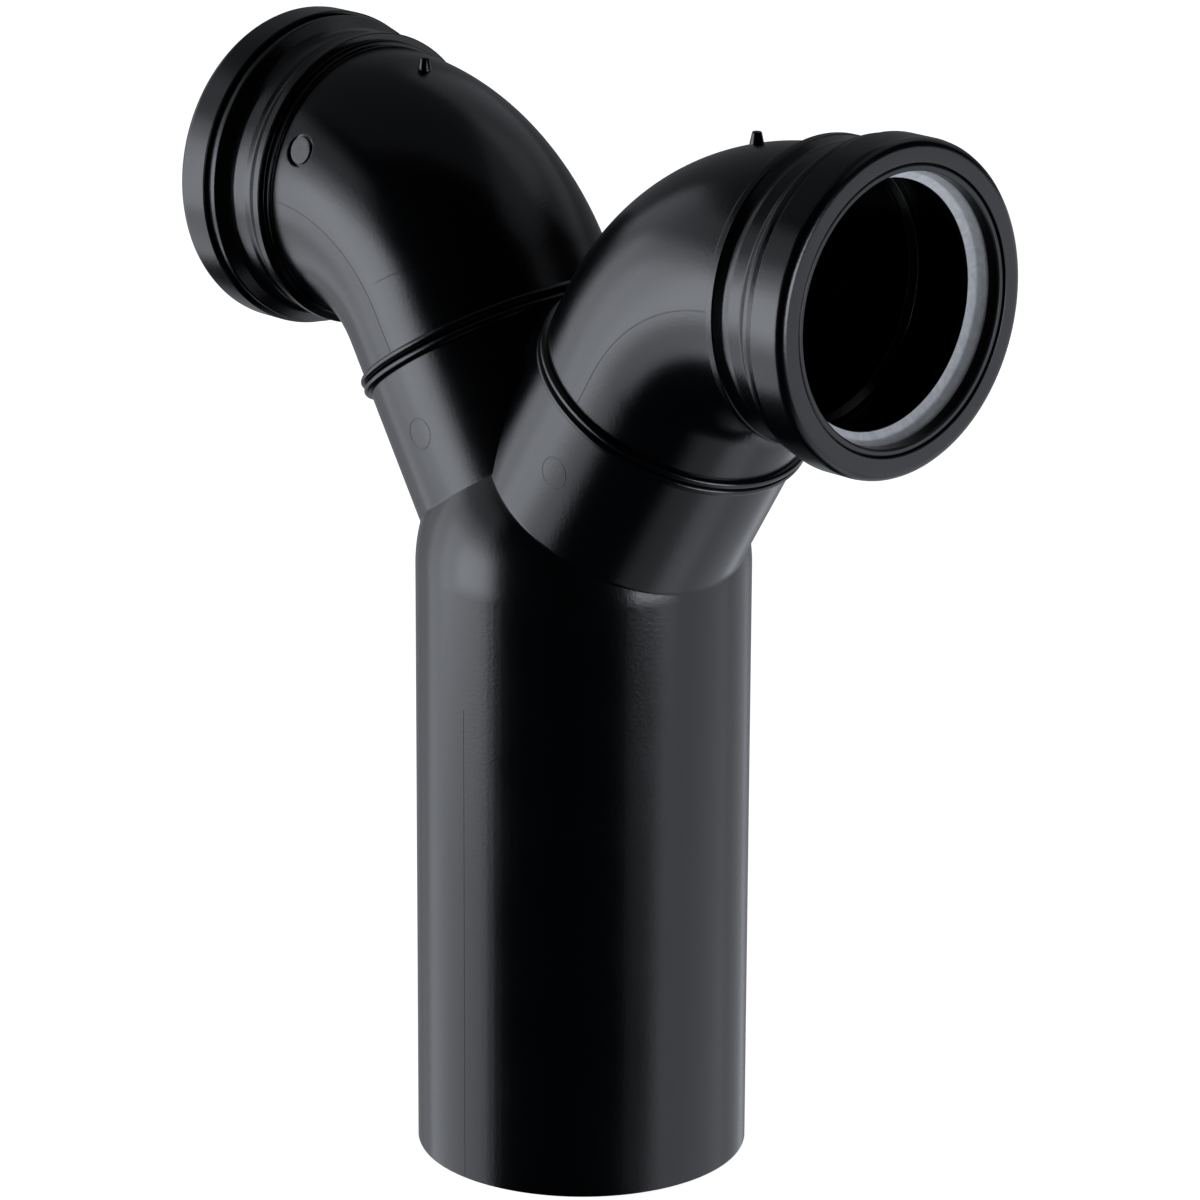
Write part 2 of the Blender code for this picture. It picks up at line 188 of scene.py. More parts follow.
@dataclass(frozen=True)
class ArmLine:
    """Centre line of the right arm, measured from where it leaves the trunk's axis."""

    junction_height: float = 201.0 * MM
    branch_angle: float = math.radians(32.0)
    arm_radius: float = 45.0 * MM
    arm_bore: float = 41.0 * MM
    crotch_to_weld: float = 7.5 * MM
    straight: float = 16.0 * MM
    bend_radius: float = 62.7 * MM
    lead: float = 0.6 * MM

    @property
    def weld(self) -> float:
        """Distance of the weld plane from the junction."""
        return self.arm_radius / math.tan(self.branch_angle) + self.crotch_to_weld

    @property
    def bend_start(self) -> float:
        """Distance at which the bend starts."""
        return self.weld + self.straight

    @property
    def bend_turn(self) -> float:
        """Angle through which the bend turns."""
        return math.pi / 2 - self.branch_angle

    @property
    def bend_end(self) -> float:
        """Distance at which the bend ends."""
        return self.bend_start + self.bend_radius * self.bend_turn

    @property
    def bend_centre(self) -> np.ndarray:
        """Centre of the bend in the plane of the arms.

        Returns:
            The point as (x, z).
        """
        sin, cos = math.sin(self.branch_angle), math.cos(self.branch_angle)
        start = np.array((self.bend_start * sin, self.junction_height + self.bend_start * cos))
        return start + np.array((cos, -sin)) * self.bend_radius

    @property
    def socket_foot(self) -> float:
        """Distance of the socket's foot."""
        return self.bend_end + self.lead

    @property
    def socket_shift(self) -> float:
        """What is added to a distance on the straight socket to give its x."""
        return float(self.bend_centre[0]) + self.lead - self.socket_foot

    def stations(self, along: np.ndarray) -> tuple[np.ndarray, np.ndarray]:
        """Place cross sections on the line.

        Args:
            along: Distances from the junction.

        Returns:
            Centres as rows of (x, y, z), and the unit vectors that point out of the bend.
        """
        sin, cos = math.sin(self.branch_angle), math.cos(self.branch_angle)
        centre_x, centre_z = self.bend_centre
        turn = np.clip((along - self.bend_start) / self.bend_radius, 0.0, self.bend_turn)
        angle = self.branch_angle + turn
        x = centre_x - self.bend_radius * np.cos(angle)
        z = centre_z + self.bend_radius * np.sin(angle)
        before = np.minimum(along - self.bend_start, 0.0)
        after = np.maximum(along - self.bend_end, 0.0)
        x = x + before * sin + after
        z = z + before * cos
        zero = np.zeros_like(x)
        centres = np.stack((x, zero, z), axis=1)
        outward = np.stack((-np.cos(angle), zero, np.sin(angle)), axis=1)
        return centres, outward

    def surface(self, along: float, angle: float, radius: float) -> tuple[np.ndarray, np.ndarray]:
        """Find one point on the pipe's surface.

        Args:
            along: Distance from the junction.
            angle: Angle round the pipe, 0 on the outside of the bend and a quarter turn on +Y.
            radius: Radius of the surface.

        Returns:
            The point and its outward normal.
        """
        centres, outward = self.stations(np.array([along]))
        normal = outward[0] * math.cos(angle) + np.array((0.0, math.sin(angle), 0.0))
        return centres[0] + normal * radius, normal


LINE = ArmLine()


def swept_grid(profile: np.ndarray, sides: int) -> np.ndarray:
    """Carry a profile round the centre line.

    Args:
        profile: Rows of (along, across).
        sides: Points round the line.

    Returns:
        Points as (profile point, angle, xyz).
    """
    angles = angles_round(sides)
    centres, outward = LINE.stations(profile[:, 0])
    sideways = np.array((0.0, 1.0, 0.0))
    radial = (np.cos(angles)[None, :, None] * outward[:, None, :]
              + np.sin(angles)[None, :, None] * sideways[None, None, :])
    return centres[:, None, :] + radial * profile[:, 1][:, None, None]


def ring_faces(here: np.ndarray, ahead: np.ndarray) -> list[tuple[int, ...]]:
    """Join two rings of points.

    Args:
        here: Indices of the points of one ring.
        ahead: Indices of the points of the next ring.

    Returns:
        The faces between them.
    """
    beside, ahead_beside = np.roll(here, -1), np.roll(ahead, -1)
    return [tuple(int(index) for index in quad)
            for quad in zip(here, beside, ahead_beside, ahead)]


def grid_shell(points: np.ndarray, closed: bool) -> Shell:
    """Join a grid of points into a skin that is closed round its second index.

    Args:
        points: Array of (row, column, xyz).
        closed: Whether the last row joins the first.

    Returns:
        The skin.
    """
    rows, columns = points.shape[:2]
    indices = np.arange(rows * columns).reshape(rows, columns)
    faces = []
    for row in range(rows if closed else rows - 1):
        faces += ring_faces(indices[row], indices[(row + 1) % rows])
    return Shell(points.reshape(-1, 3), faces)


def swept_ring(corners: list[Corner], sides: int, side: Side) -> Shell:
    """Closed skin of a section with these corners, carried round one arm's centre line."""
    return grid_shell(swept_grid(rounded(corners, closed=True), sides), True).turned(side.turn)


def turned_shell(profile: np.ndarray, place: Matrix, sides: int) -> Shell:
    """Turn a profile that starts and ends on its axis.

    Args:
        profile: Rows of (along, across), the first and last with across 0.
        place: Frame whose Z is the axis.
        sides: Points round.

    Returns:
        A closed skin.
    """
    inner = profile[1:-1]
    angles = angles_round(sides)
    ring = np.stack((np.cos(angles), np.sin(angles)), axis=1)
    grid = np.concatenate((inner[:, None, 1, None] * ring[None, :, :],
                           np.repeat(inner[:, None, 0, None], sides, axis=1)), axis=2)
    shell = grid_shell(grid, closed=False)
    last = (len(inner) - 1) * sides
    poles = np.array(((0.0, 0.0, profile[0, 0]), (0.0, 0.0, profile[-1, 0])))
    first_pole = len(shell.points)
    points = np.concatenate((shell.points, poles))
    for column in range(sides):
        beside = (column + 1) % sides
        shell.faces.append((first_pole, beside, column))
        shell.faces.append((first_pole + 1, last + column, last + beside))
    matrix = np.array(place)
    return Shell(points @ matrix[:3, :3].T + matrix[:3, 3], shell.faces)


@dataclass(frozen=True)
class MouldedLine:
    """A fine moulded line, half sunk in the surface that it lies on."""

    width: float
    height: float
    sides: int = 8

    def skin(self, path: np.ndarray, normals: np.ndarray, closed: bool) -> Shell:
        """Lay the line along a path.

        Args:
            path: Points on the surface.
            normals: Outward normals at those points.
            closed: Whether the path is a loop.

        Returns:
            A closed skin.
        """
        if closed:
            along = np.roll(path, -1, axis=0) - np.roll(path, 1, axis=0)
        else:
            along = np.gradient(path, axis=0)
        along /= np.linalg.norm(along, axis=1)[:, None]
        across = np.cross(along, normals)[:, None, :]
        turns = angles_round(self.sides)
        grid = (path[:, None, :] + across * np.cos(turns)[None, :, None] * self.width / 2
                + normals[:, None, :] * np.sin(turns)[None, :, None] * self.height)
        shell = grid_shell(grid, closed)
        if not closed:
            last = (len(path) - 1) * self.sides
            shell.faces.append(tuple(range(self.sides)))
            shell.faces.append(tuple(last + index for index in reversed(range(self.sides))))
        return shell

    def on_arm(self, places: Iterable[tuple[float, float]], closed: bool = False) -> Shell:
        """Lay the line on the outside of the right arm.

        Args:
            places: Distances from the junction, each with the angle round the arm.
            closed: Whether the places make a loop.

        Returns:
            A closed skin.
        """
        found = [LINE.surface(float(along), float(turn), LINE.arm_radius)
                 for along, turn in places]
        path, normals = (np.array(part) for part in zip(*found))
        return self.skin(path, normals, closed)


TRUNK_PARTING_LINE = MouldedLine(width=0.35 * MM, height=0.10 * MM)
BEND_PARTING_LINE = MouldedLine(width=0.40 * MM, height=0.13 * MM)
CROSSING_LINE = MouldedLine(width=0.38 * MM, height=0.11 * MM)
EJECTOR_LINE = MouldedLine(width=0.45 * MM, height=0.12 * MM)

Feed = float | tuple[float, ...] | bpy.types.NodeSocket


@dataclass(frozen=True)
class NodeBench:
    """Places nodes in one tree and feeds their inputs."""

    tree: bpy.types.NodeTree

    def feed(self, node: bpy.types.Node, feeds: dict[str | int, Feed]) -> None:
        """Set or link inputs of a node.

        Args:
            node: The node.
            feeds: What each input takes, a value or another node's output.
        """
        for name, value in feeds.items():
            if isinstance(value, bpy.types.NodeSocket):
                self.tree.links.new(value, node.inputs[name])
            else:
                node.inputs[name].default_value = value

    def place(self, kind: str, feeds: dict[str | int, Feed], **settings: object) -> bpy.types.Node:
        """Place a shader node.

        Args:
            kind: Its kind, as in the end of its type's name.
            feeds: What its inputs take.
            settings: Properties of the node, set before its inputs.

        Returns:
            The node.
        """
        node = self.tree.nodes.new("ShaderNode" + kind)
        for name, value in settings.items():
            setattr(node, name, value)
        self.feed(node, feeds)
        return node


class EffectGroup:
    """A shader node group with named inputs and outputs, built once."""

    NAME = ""
    INPUTS: dict[str, float] = {}
    OUTPUTS: tuple[str, ...] = ()

    @classmethod
    def tree(cls) -> bpy.types.NodeTree:
        """Build the group the first time it is asked for.

        Returns:
            The node group.
        """
        if cls.NAME in bpy.data.node_groups:
            return bpy.data.node_groups[cls.NAME]
        tree = bpy.data.node_groups.new(cls.NAME, "ShaderNodeTree")
        for name, default in cls.INPUTS.items():
            socket = tree.interface.new_socket(name, in_out="INPUT", socket_type="NodeSocketFloat")
            socket.default_value = default
        for name in cls.OUTPUTS:
            tree.interface.new_socket(name, in_out="OUTPUT", socket_type="NodeSocketFloat")
        given = tree.nodes.new("NodeGroupInput")
        result = tree.nodes.new("NodeGroupOutput")
        bench = NodeBench(tree)
        bench.feed(result, cls.effect(bench, given.outputs))
        return tree

    @classmethod
    def effect(cls, bench: NodeBench, given: bpy.types.bpy_prop_collection) -> dict[str, Feed]:
        """Lay the effect's nodes and say what each of the group's outputs takes."""
        raise NotImplementedError(cls.NAME)


class GrainGroup(EffectGroup):
    """The fine ripple and uneven gloss of moulded plastic."""

    NAME = "moulded_grain"
    INPUTS = {"Ripple Scale": 700.0, "Grain Scale": 2600.0, "Grain Share": 0.3,
              "Gloss Low": 0.26, "Gloss High": 0.34}
    OUTPUTS = ("Height", "Roughness")
    CLOUD_SCALE = 26.0

    @classmethod
    def effect(cls, bench: NodeBench, given: bpy.types.bpy_prop_collection) -> dict[str, Feed]:
        """Lay two scales of ripple, and slow clouds that vary the gloss.

        Args:
            bench: Bench on the group's tree.
            given: The group's inputs.

        Returns:
            The height and the roughness.
        """
        place = bench.place("TexCoord", {}).outputs["Object"]
        ripple = bench.place("TexNoise", {
            "Vector": place, "Scale": given["Ripple Scale"], "Detail": 2.0})
        grain = bench.place("TexNoise", {
            "Vector": place, "Scale": given["Grain Scale"], "Detail": 3.0})
        clouds = bench.place("TexNoise", {
            "Vector": place, "Scale": cls.CLOUD_SCALE, "Detail": 4.0})
        height = bench.place("Mix", {
            "Factor": given["Grain Share"], "A": ripple.outputs["Fac"], "B": grain.outputs["Fac"]})
        gloss = bench.place("MapRange", {
            "Value": clouds.outputs["Fac"], "From Min": 0.3, "From Max": 0.7,
            "To Min": given["Gloss Low"], "To Max": given["Gloss High"]})
        return {"Height": height.outputs["Result"], "Roughness": gloss.outputs["Result"]}


class SmearGroup(EffectGroup):
    """Streaks and blotches of seal grease, and dust on rubber."""

    NAME = "grease_smear"
    INPUTS = {"Streak Scale": 260.0, "Cover": 0.5}
    OUTPUTS = ("Mask", "Height")
    BARE_ABOVE = 0.75
    FULL_FROM = 0.78

    @classmethod
    def effect(cls, bench: NodeBench, given: bpy.types.bpy_prop_collection) -> dict[str, Feed]:
        """Lay a warped noise whose upper part is the smear.

        Args:
            bench: Bench on the group's tree.
            given: The group's inputs.

        Returns:
            The mask and the height.
        """
        place = bench.place("TexCoord", {}).outputs["Object"]
        noise = bench.place("TexNoise", {
            "Vector": place, "Scale": given["Streak Scale"], "Detail": 5.0, "Roughness": 0.62,
            "Distortion": 1.4}).outputs["Fac"]
        low = bench.place("Math", {0: cls.BARE_ABOVE, 1: given["Cover"]}, operation="SUBTRACT")
        spread = bench.place("MapRange", {
            "Value": noise, "From Min": low.outputs["Value"], "From Max": cls.FULL_FROM},
            interpolation_type="SMOOTHSTEP")
        return {"Mask": spread.outputs["Result"], "Height": noise}


def blank_material(name: str) -> tuple[bpy.types.Material, NodeBench, bpy.types.Node]:
    """Make a material that has its main shader only.

    Args:
        name: Its name.

    Returns:
        The material, a bench on its nodes, and the shader.
    """
    material = bpy.data.materials.new(name)
    material.use_nodes = True
    tree = material.node_tree
    return material, NodeBench(tree), tree.nodes["Principled BSDF"]


@dataclass(frozen=True)
class PlasticFinish:
    """Black moulded polyethylene or the harder plastic of the snap rings."""

    name: str
    colour: tuple[float, float, float]
    gloss_low: float
    gloss_high: float
    ripple_scale: float
    grain_scale: float
    grain_share: float
    ripple_depth: float
    refraction: float = 1.5

    def material(self) -> bpy.types.Material:
        """Build the material.

        Returns:
            The material.
        """
        material, bench, shader = blank_material(self.name)
        grain = bench.place("Group", {
            "Ripple Scale": self.ripple_scale, "Grain Scale": self.grain_scale,
            "Grain Share": self.grain_share, "Gloss Low": self.gloss_low,
            "Gloss High": self.gloss_high}, node_tree=GrainGroup.tree())
        bump = bench.place("Bump", {
            "Strength": 1.0, "Distance": self.ripple_depth, "Height": grain.outputs["Height"]})
        bench.feed(shader, {
            "Base Color": (*self.colour, 1.0), "IOR": self.refraction,
            "Roughness": grain.outputs["Roughness"], "Normal": bump.outputs["Normal"]})
        return material


@dataclass(frozen=True)
class GreasedRubberFinish:
    """Seal rubber with a film of light grease in streaks."""

    name: str
    rubber: tuple[float, float, float]
    grease: tuple[float, float, float]
    cover: float
    streak_scale: float
    rubber_roughness: float
    grease_roughness: float
    film_strength: float = 0.6
    film_depth: float = 0.06 * MM

    def material(self) -> bpy.types.Material:
        """Build the material.

        Returns:
            The material.
        """
        material, bench, shader = blank_material(self.name)
        smear = bench.place("Group", {
            "Streak Scale": self.streak_scale, "Cover": self.cover},
            node_tree=SmearGroup.tree()).outputs
        tint = bench.place("Mix", {
            "Factor": smear["Mask"], "A": (*self.rubber, 1.0), "B": (*self.grease, 1.0)},
            data_type="RGBA")
        rough = bench.place("MapRange", {
            "Value": smear["Mask"], "To Min": self.rubber_roughness,
            "To Max": self.grease_roughness})
        bump = bench.place("Bump", {
            "Strength": self.film_strength, "Distance": self.film_depth,
            "Height": smear["Height"]})
        bench.feed(shader, {
            "Base Color": tint.outputs["Result"], "Roughness": rough.outputs["Result"],
            "Normal": bump.outputs["Normal"]})
        return material


PIPE_PLASTIC = PlasticFinish(
    "black_pipe_plastic", colour=(0.0009, 0.0013, 0.0019), gloss_low=0.17, gloss_high=0.22,
    ripple_scale=820.0, grain_scale=2300.0, grain_share=0.5, ripple_depth=0.06 * MM)
CAP_PLASTIC = PlasticFinish(
    "black_cap_plastic", colour=(0.0009, 0.0013, 0.0019), gloss_low=0.17, gloss_high=0.23,
    ripple_scale=900.0, grain_scale=2600.0, grain_share=0.4, ripple_depth=0.04 * MM)
SEAL_RUBBER = GreasedRubberFinish(
    "black_seal_rubber", rubber=(0.006, 0.006, 0.007), grease=(0.03, 0.031, 0.033),
    cover=0.16, streak_scale=300.0, rubber_roughness=0.30, grease_roughness=0.42)
SEAL_GREASE = GreasedRubberFinish(
    "greased_seal_lip", rubber=(0.72, 0.74, 0.78), grease=(0.97, 0.98, 0.99),
    cover=0.5, streak_scale=230.0, rubber_roughness=0.42, grease_roughness=0.28)


def placed(name: str, data: bpy.types.ID) -> bpy.types.Object:
    """Make an object and put it in the scene.

    Args:
        name: Its name.
        data: Its mesh, lamp or camera.

    Returns:
        The object.
    """
    made = bpy.data.objects.new(name, data)
    bpy.context.scene.collection.objects.link(made)
    return made


@dataclass
class Workshop:
    """Turns skins into finished pieces and attaches them to the root body."""

    normal_weight: int = 60
    materials: dict[str, bpy.types.Material] = field(default_factory=dict)

    def material(self, finish: PlasticFinish | GreasedRubberFinish) -> bpy.types.Material:
        """Build a finish's material the first time it is asked for.

        Args:
            finish: The finish.

        Returns:
            Its material.
        """
        if finish.name not in self.materials:
            self.materials[finish.name] = finish.material()
        return self.materials[finish.name]

    def piece(self, name: str, shells: list[Shell], finish: PlasticFinish | GreasedRubberFinish,
              slot: Slot, node: str) -> bpy.types.Object:
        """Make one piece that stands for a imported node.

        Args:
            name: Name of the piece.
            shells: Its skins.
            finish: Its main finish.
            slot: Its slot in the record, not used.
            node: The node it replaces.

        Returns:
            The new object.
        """
        mesh = bpy.data.meshes.new(name)
        offset, points, faces = 0, [], []
        for shell in shells:
            points.append(shell.points)
            faces.extend(tuple(index + offset for index in face) for face in shell.faces)
            offset += len(shell.points)
        mesh.from_pydata(np.concatenate(points).tolist(), [], faces)
        skin = bmesh.new()
        skin.from_mesh(mesh)
        bmesh.ops.recalc_face_normals(skin, faces=skin.faces)
        skin.to_mesh(mesh)
        skin.free()
        mesh.shade_smooth()
        mesh.set_sharp_from_angle(angle=SMOOTH_ANGLE)
        mesh.materials.append(self.material(finish))
        piece = placed(name, mesh)
        weights = piece.modifiers.new("even_shading", "WEIGHTED_NORMAL")
        weights.keep_sharp = True
        weights.weight = self.normal_weight
        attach(piece, "root")
        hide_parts(node)
        LOG.info("%s: %d faces, stands for %s", name, len(mesh.polygons), node)
        return piece


@dataclass
class WeldRoll:
    """One roll of a butt weld, outside and inside the pipe."""

    gap: float = 0.3 * MM
    width: float = 2.8 * MM
    height: float = 1.9 * MM
    fullness: float = 0.8
    inner_height: float = 1.2 * MM
    inner_fullness: float = 1.0
    steps: int = 12

    def arc(self, end: float, away: int, foot: float, height: float,
            fullness: float) -> list[Corner]:
        """Corners of a roll, from the end plane back along the pipe.

        Args:
            end: Place of the end plane.
            away: 1 where the pipe runs on to greater distances, otherwise -1.
            foot: Radius of the surface that the roll stands on.
            height: How far it stands out, below zero where it stands inwards.
            fullness: Power of its section, fuller below 1.

        Returns:
            The corners.
        """
        corners = []
        for index in range(self.steps + 1):
            angle = math.pi * index / self.steps
            swell = math.sin(angle) ** fullness if 0 < index < self.steps else 0.0
            along = end + away * self.width * (1 - math.cos(angle)) / 2
            corners.append(Corner(along, foot + height * swell))
        return corners

    def outside(self, end: float, away: int, radius: float) -> list[Corner]:
        """Corners of the roll on the outside of a pipe of this outer radius."""
        return self.arc(end, away, radius, self.height, self.fullness)

    def inside(self, end: float, away: int, radius: float) -> list[Corner]:
        """Corners of the roll in a bore of this radius."""
        return self.arc(end, away, radius, -self.inner_height, self.inner_fullness)


@dataclass
class YBranch:
    """The trunk, its ball shoulder and the two slanted stubs, one moulding."""

    trunk_radius: float = 55.0 * MM
    trunk_bore: float = 50.7 * MM
    stub_radius: float = LINE.arm_radius
    stub_bore: float = LINE.arm_bore
    crease_fillet: float = 1.8 * MM
    bore_fillet: float = 1.0 * MM
    end_chamfer: float = 0.45 * MM
    ring_heights: tuple[float, ...] = (
        180.0 * MM, 150.0 * MM, 120.0 * MM, 90.0 * MM, 60.0 * MM, 30.0 * MM, 2.0 * MM)
    parting_offset: float = 2.0 * MM
    parting_low: float = 1.0 * MM
    parting_high: float = 163.0 * MM
    parting_points: int = 24
    ejector_radius: float = 5.0 * MM
    ejector_points: int = 72
    ejector_marks: tuple[tuple[Side, int, float, float], ...] = (
        (Side.RIGHT, -1, 56.6 * MM, 3.9 * MM), (Side.LEFT, 1, 54.6 * MM, 1.0 * MM))
    sides: int = 288
    ball_step: float = math.radians(1.5)
    ball_end: float = math.radians(97.0)
    roll: WeldRoll = field(default_factory=WeldRoll)

    def ball(self, radius: float, start: float, stop: float) -> list[Corner]:
        """Corners on a ball of this radius, between two angles from the stub's axis."""
        angles = np.linspace(start, stop, math.ceil(abs(stop - start) / self.ball_step))
        return [Corner(radius * math.cos(angle), radius * math.sin(angle)) for angle in angles]

    def half_profile(self) -> np.ndarray:
        """Profile of one arm about the stub's axis, from the outer ball to the inner one.

        Returns:
            Rows of (along, across).
        """
        end = LINE.weld - self.roll.gap / 2
        outer_crease = math.asin(self.stub_radius / self.trunk_radius)
        inner_crease = math.asin(self.stub_bore / self.trunk_bore)
        outer = self.ball(self.trunk_radius, self.ball_end, outer_crease)
        outer[-1] = replace(outer[-1], fillet=self.crease_fillet)
        inner = self.ball(self.trunk_bore, inner_crease, self.ball_end)
        inner[0] = Corner(inner[0].along, self.stub_bore, self.bore_fillet)
        rolls = self.roll.outside(end, -1, self.stub_radius)[::-1]
        rolls += self.roll.inside(end, -1, self.stub_bore)
        return rounded(outer + rolls + inner, closed=False)

    def half_skin(self) -> Shell:
        """Skin of the right half above the trunk, cut at the planes it ends on.

        Returns:
            The open skin.
        """
        shell = grid_shell(swept_grid(self.half_profile(), self.sides), closed=False)
        mesh = bpy.data.meshes.new("half_skin")
        mesh.from_pydata(shell.points.tolist(), [], shell.faces)
        skin = bmesh.new()
        skin.from_mesh(mesh)
        for place, normal in (((0.0, 0.0, 0.0), (1.0, 0.0, 0.0)),
                              ((0.0, 0.0, LINE.junction_height), (0.0, 0.0, 1.0))):
            everything = list(skin.verts) + list(skin.edges) + list(skin.faces)
            bmesh.ops.bisect_plane(skin, geom=everything, dist=CUT_TOLERANCE, plane_co=place,
                                   plane_no=normal, clear_inner=True)
        skin.verts.ensure_lookup_table()
        skin.verts.index_update()
        result = Shell(np.array([tuple(vert.co) for vert in skin.verts]),
                       [tuple(vert.index for vert in face.verts) for face in skin.faces])
        skin.free()
        bpy.data.meshes.remove(mesh)
        return result

    def upper_skin(self) -> Shell:
        """Both halves joined on the middle plane.

        Returns:
            The skin, open where the trunk starts.
        """
        half = self.half_skin()
        points = half.points.copy()
        on_middle = np.abs(points[:, 0]) < 2 * CUT_TOLERANCE
        points[on_middle, 0] = 0.0
        level = np.abs(points[:, 2] - LINE.junction_height) < 2 * CUT_TOLERANCE
        points[level, 2] = LINE.junction_height
        reach = np.hypot(points[:, 0], points[:, 1])
        middle_wall = (self.trunk_radius + self.trunk_bore) / 2
        wanted = np.where(reach > middle_wall, self.trunk_radius, self.trunk_bore)
        points[level, :2] *= (wanted / np.maximum(reach, MM))[level, None]
        mirrored_index = np.empty(len(points), int)
        mirrored_index[on_middle] = np.flatnonzero(on_middle)
        mirrored_index[~on_middle] = len(points) + np.arange(int((~on_middle).sum()))
        mirrored = points[~on_middle] * np.array((-1.0, 1.0, 1.0))
        faces = list(half.faces)
        faces += [tuple(int(mirrored_index[index]) for index in reversed(face))
                  for face in half.faces]
        return Shell(np.concatenate((points, mirrored)), faces)

    def ring(self, points: np.ndarray, outer: bool) -> np.ndarray:
        """Indices of the points on the trunk's rim, in order round it.

        Args:
            points: All points.
            outer: Whether the outer rim is asked for.

        Returns:
            The indices.
        """
        level = points[:, 2] == LINE.junction_height
        reach = np.hypot(points[:, 0], points[:, 1])
        outside = reach > (self.trunk_radius + self.trunk_bore) / 2
        found = np.flatnonzero(level & (outside if outer else ~outside))
        order = np.argsort(np.arctan2(points[found, 1], points[found, 0]))
        return found[order]

    def build(self) -> list[Shell]:
        """Whole skin of the branch with its fine moulded lines.

        Returns:
            The skins.
        """
        upper = self.upper_skin()
        points, faces = upper.points, list(upper.faces)
        chamfer = self.end_chamfer
        rims = []
        for outer in (True, False):
            here = self.ring(points, outer)
            radius = self.trunk_radius if outer else self.trunk_bore
            inset = -chamfer if outer else chamfer
            turn = np.arctan2(points[here, 1], points[here, 0])
            rows = [(level, radius) for level in (*self.ring_heights, chamfer)]
            rows += [(chamfer * BEVEL_SHARE, radius + inset * BEVEL_SHARE), (0.0, radius + inset)]
            for height, reach in rows:
                ahead = len(points) + np.arange(len(here))
                row = np.stack((reach * np.cos(turn), reach * np.sin(turn),
                                np.full(len(turn), height)), axis=1)
                points = np.concatenate((points, row))
                faces += ring_faces(here, ahead)
                here = ahead
            rims.append((here, turn))
        faces += self.zipped(*rims[0], *rims[1])
        return [Shell(points, faces)] + self.moulded_lines()

    def zipped(self, outer: np.ndarray, outer_turn: np.ndarray, inner: np.ndarray,
               inner_turn: np.ndarray) -> list[tuple[int, ...]]:
        """Fill the flat end between two rims of unlike spacing.

        Args:
            outer: Indices of the outer rim.
            outer_turn: Its angles, rising.
            inner: Indices of the inner rim.
            inner_turn: Its angles, rising.

        Returns:
            Triangles.
        """
        rims = (outer, inner)
        steps = sorted((turn, rim) for rim, turns in enumerate((outer_turn, inner_turn))
                       for turn in (*turns[1:], turns[0] + 2 * math.pi))
        faces, at = [], [0, 0]
        for _, rim in steps:
            here = [int(ring[place % len(ring)]) for ring, place in zip(rims, at)]
            at[rim] += 1
            faces.append((here[0], int(rims[rim][at[rim] % len(rims[rim])]), here[1]))
        return faces

    def moulded_lines(self) -> list[Shell]:
        """Parting lines of the trunk and the round ejector marks of the stubs.

        Returns:
            The skins.
        """
        shells = []
        heights = np.linspace(self.parting_low, self.parting_high, self.parting_points)
        upright = heights[:, None] * np.array((0.0, 0.0, 1.0))
        for side in (-1, 1):
            turn = side * (math.pi / 2 - math.asin(self.parting_offset / self.trunk_radius))
            normal = np.array((-side * math.cos(turn), math.sin(turn), 0.0))
            normals = np.repeat(normal[None], len(heights), axis=0)
            path = normals * self.trunk_radius + upright
            shells.append(TRUNK_PARTING_LINE.skin(path, normals, closed=False))
        for side, sign, along, offset in self.ejector_marks:
            places = []
            for turn in angles_round(self.ejector_points):
                lift = (offset + self.ejector_radius * math.sin(turn)) / self.stub_radius
                places.append((along + self.ejector_radius * math.cos(turn),
                               sign * (math.pi / 2 + lift)))
            shells.append(EJECTOR_LINE.on_arm(places, closed=True).turned(side.turn))
        return shells


